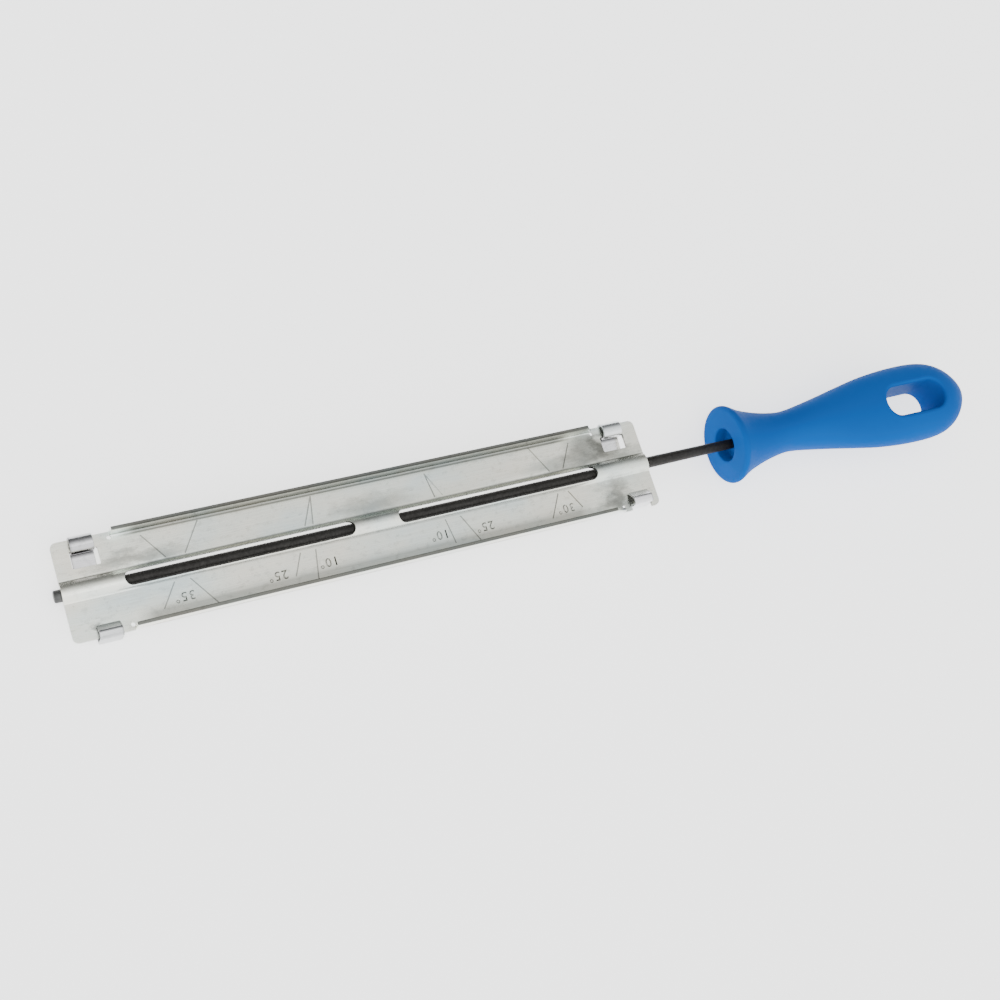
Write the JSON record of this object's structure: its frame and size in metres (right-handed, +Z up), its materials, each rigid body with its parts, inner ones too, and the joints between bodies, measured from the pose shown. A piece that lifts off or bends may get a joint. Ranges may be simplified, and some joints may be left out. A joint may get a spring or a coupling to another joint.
{
  "type": "chainsaw file guide",
  "caption": "Round file held under a folded steel guide plate by hinged spring clips, with a plastic handle on its tang.",
  "frame": {"origin": "centre of the foot of the box around the whole tool, at rest with both clips closed", "axes": "+X along the file from its tip to the handle, +Y towards the plate's hinge edge, +Z up out of the plate's marked side"},
  "size_m": [0.3514, 0.034, 0.0287],
  "materials": {
    "zinc_plate": "bright zinc plate",
    "spring_steel": "bright zinc plate",
    "file_steel": "dark, finely cut",
    "blue_plastic": "semi-matte"
  },
  "bodies": {
    "plate": {"guide_plate": "zinc_plate"},
    "left_clip": {"left_clip": "spring_steel"},
    "right_clip": {"right_clip": "spring_steel"},
    "file": {"round_file": "file_steel", "handle": "blue_plastic"}
  },
  "joints": [
    {"name": "left_clip_hinge", "type": "hinge", "parent": "plate", "child": "left_clip", "pos_m": [-0.16432, 0.01421, 0.01595], "axis": [1, 0, 0], "range_deg": [0, 105]},
    {"name": "right_clip_hinge", "type": "hinge", "parent": "plate", "child": "right_clip", "pos_m": [0.02187, 0.01421, 0.01595], "axis": [1, 0, 0], "range_deg": [0, 105]},
    {"name": "file_slide", "type": "slide", "parent": "plate", "child": "file", "axis": [1, 0, 0], "range_m": [-0.034, 0.21]}
  ]
}
